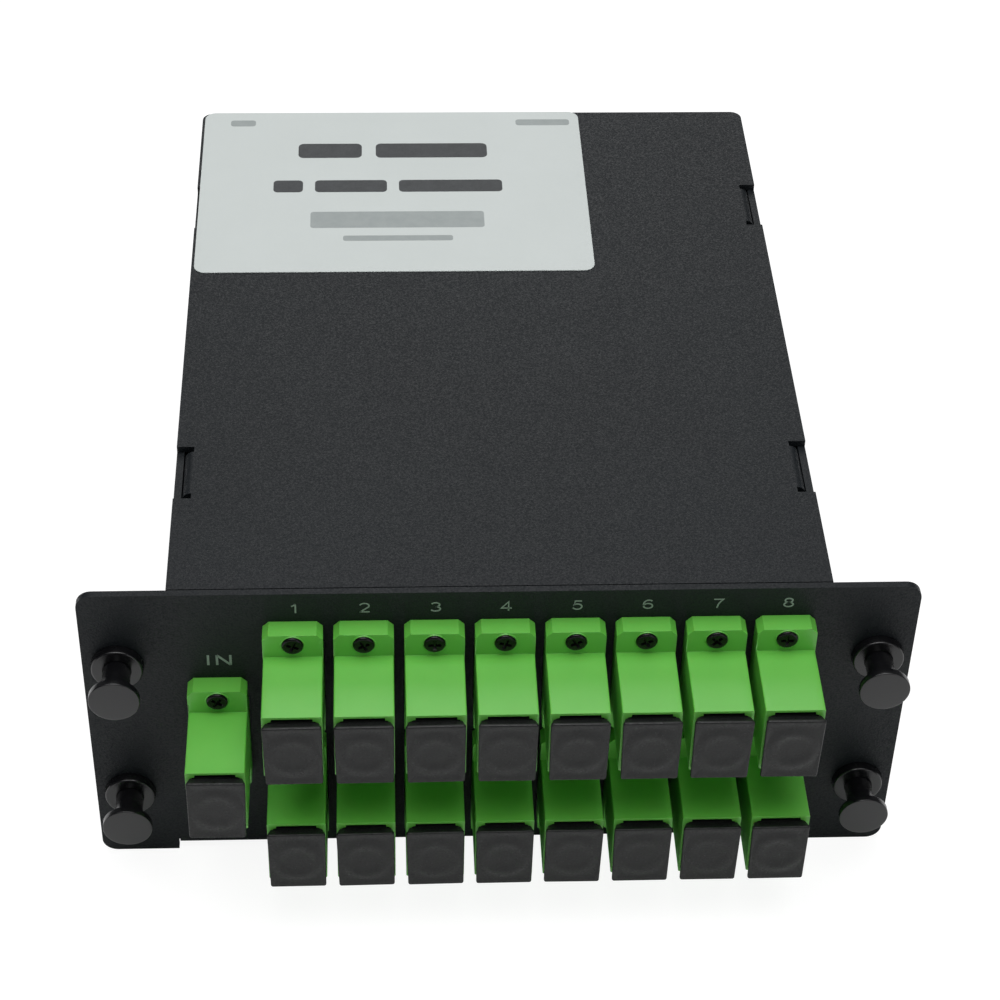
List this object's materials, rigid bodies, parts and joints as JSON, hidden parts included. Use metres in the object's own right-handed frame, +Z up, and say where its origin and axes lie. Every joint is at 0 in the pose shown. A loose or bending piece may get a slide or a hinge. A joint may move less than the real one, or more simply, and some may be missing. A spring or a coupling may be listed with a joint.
{
  "type": "plc fibre splitter",
  "caption": "Passive optical splitter cassette: a folded sheet tray and front panel with rows of capped square fibre adapters and push-pull rack fasteners at its corners.",
  "frame": {"origin": "centre of the four-fastener pattern, on the rear face of the front panel that seats on the rack frame", "axes": "+Y back into the rack, +Z up, +X to the right as seen from the front"},
  "size_m": [0.13, 0.151, 0.058],
  "materials": {
    "coated_steel": "fine-textured black powder coat",
    "label_stock": "matt polyester label",
    "green_plastic": "satin moulded plastic",
    "cap_plastic": "satin soft plastic",
    "black_nylon": "semi-gloss moulded nylon",
    "black_steel": "black oxide",
    "inner_plastic": "moulded plastic",
    "ceramic": "polished ceramic",
    "green_rubber": "soft moulded",
    "module_steel": "brushed",
    "foam": "foam tape",
    "black_rubber": "moulded rubber",
    "white_tube": "extruded tube",
    "clear_nylon": "moulded nylon"
  },
  "bodies": {
    "root": {"chassis": "coated_steel", "cover": "coated_steel", "product_label": "label_stock", "adapter_screws": "black_steel", "cover_screws": "black_steel", "sleeve_holders": "inner_plastic", "alignment_sleeves": "ceramic", "rear_plugs": "green_plastic", "plug_boots": "green_rubber", "grommets": "black_nylon", "splitter_module": "module_steel", "module_pad": "foam", "module_boots": "black_rubber", "fibre_harness": "white_tube", "cable_saddles": "clear_nylon", "adapter_in": "green_plastic", "adapter_01": "green_plastic", "adapter_02": "green_plastic", "adapter_03": "green_plastic", "adapter_04": "green_plastic", "adapter_05": "green_plastic", "adapter_06": "green_plastic", "adapter_07": "green_plastic", "adapter_08": "green_plastic", "adapter_09": "green_plastic", "adapter_10": "green_plastic", "adapter_11": "green_plastic", "adapter_12": "green_plastic", "adapter_13": "green_plastic", "adapter_14": "green_plastic", "adapter_15": "green_plastic", "adapter_16": "green_plastic"},
    "cap_in": {"dust_cap_in": "cap_plastic"},
    "cap_01": {"dust_cap_01": "cap_plastic"},
    "cap_02": {"dust_cap_02": "cap_plastic"},
    "cap_03": {"dust_cap_03": "cap_plastic"},
    "cap_04": {"dust_cap_04": "cap_plastic"},
    "cap_05": {"dust_cap_05": "cap_plastic"},
    "cap_06": {"dust_cap_06": "cap_plastic"},
    "cap_07": {"dust_cap_07": "cap_plastic"},
    "cap_08": {"dust_cap_08": "cap_plastic"},
    "cap_09": {"dust_cap_09": "cap_plastic"},
    "cap_10": {"dust_cap_10": "cap_plastic"},
    "cap_11": {"dust_cap_11": "cap_plastic"},
    "cap_12": {"dust_cap_12": "cap_plastic"},
    "cap_13": {"dust_cap_13": "cap_plastic"},
    "cap_14": {"dust_cap_14": "cap_plastic"},
    "cap_15": {"dust_cap_15": "cap_plastic"},
    "cap_16": {"dust_cap_16": "cap_plastic"},
    "pin_01": {"plunger_01": "black_nylon"},
    "pin_02": {"plunger_02": "black_nylon"},
    "pin_03": {"plunger_03": "black_nylon"},
    "pin_04": {"plunger_04": "black_nylon"}
  },
  "joints": [
    {"name": "cap_in_pull", "type": "slide", "parent": "root", "child": "cap_in", "axis": [0, -1, 0], "range_m": [0, 0.012]},
    {"name": "cap_01_pull", "type": "slide", "parent": "root", "child": "cap_01", "axis": [0, -1, 0], "range_m": [0, 0.012]},
    {"name": "cap_02_pull", "type": "slide", "parent": "root", "child": "cap_02", "axis": [0, -1, 0], "range_m": [0, 0.012]},
    {"name": "cap_03_pull", "type": "slide", "parent": "root", "child": "cap_03", "axis": [0, -1, 0], "range_m": [0, 0.012]},
    {"name": "cap_04_pull", "type": "slide", "parent": "root", "child": "cap_04", "axis": [0, -1, 0], "range_m": [0, 0.012]},
    {"name": "cap_05_pull", "type": "slide", "parent": "root", "child": "cap_05", "axis": [0, -1, 0], "range_m": [0, 0.012]},
    {"name": "cap_06_pull", "type": "slide", "parent": "root", "child": "cap_06", "axis": [0, -1, 0], "range_m": [0, 0.012]},
    {"name": "cap_07_pull", "type": "slide", "parent": "root", "child": "cap_07", "axis": [0, -1, 0], "range_m": [0, 0.012]},
    {"name": "cap_08_pull", "type": "slide", "parent": "root", "child": "cap_08", "axis": [0, -1, 0], "range_m": [0, 0.012]},
    {"name": "cap_09_pull", "type": "slide", "parent": "root", "child": "cap_09", "axis": [0, -1, 0], "range_m": [0, 0.012]},
    {"name": "cap_10_pull", "type": "slide", "parent": "root", "child": "cap_10", "axis": [0, -1, 0], "range_m": [0, 0.012]},
    {"name": "cap_11_pull", "type": "slide", "parent": "root", "child": "cap_11", "axis": [0, -1, 0], "range_m": [0, 0.012]},
    {"name": "cap_12_pull", "type": "slide", "parent": "root", "child": "cap_12", "axis": [0, -1, 0], "range_m": [0, 0.012]},
    {"name": "cap_13_pull", "type": "slide", "parent": "root", "child": "cap_13", "axis": [0, -1, 0], "range_m": [0, 0.012]},
    {"name": "cap_14_pull", "type": "slide", "parent": "root", "child": "cap_14", "axis": [0, -1, 0], "range_m": [0, 0.012]},
    {"name": "cap_15_pull", "type": "slide", "parent": "root", "child": "cap_15", "axis": [0, -1, 0], "range_m": [0, 0.012]},
    {"name": "cap_16_pull", "type": "slide", "parent": "root", "child": "cap_16", "axis": [0, -1, 0], "range_m": [0, 0.012]},
    {"name": "pin_01_push", "type": "slide", "parent": "root", "child": "pin_01", "axis": [0, 1, 0], "range_m": [0, 0.0052]},
    {"name": "pin_02_push", "type": "slide", "parent": "root", "child": "pin_02", "axis": [0, 1, 0], "range_m": [0, 0.0052]},
    {"name": "pin_03_push", "type": "slide", "parent": "root", "child": "pin_03", "axis": [0, 1, 0], "range_m": [0, 0.0052]},
    {"name": "pin_04_push", "type": "slide", "parent": "root", "child": "pin_04", "axis": [0, 1, 0], "range_m": [0, 0.0052]}
  ]
}
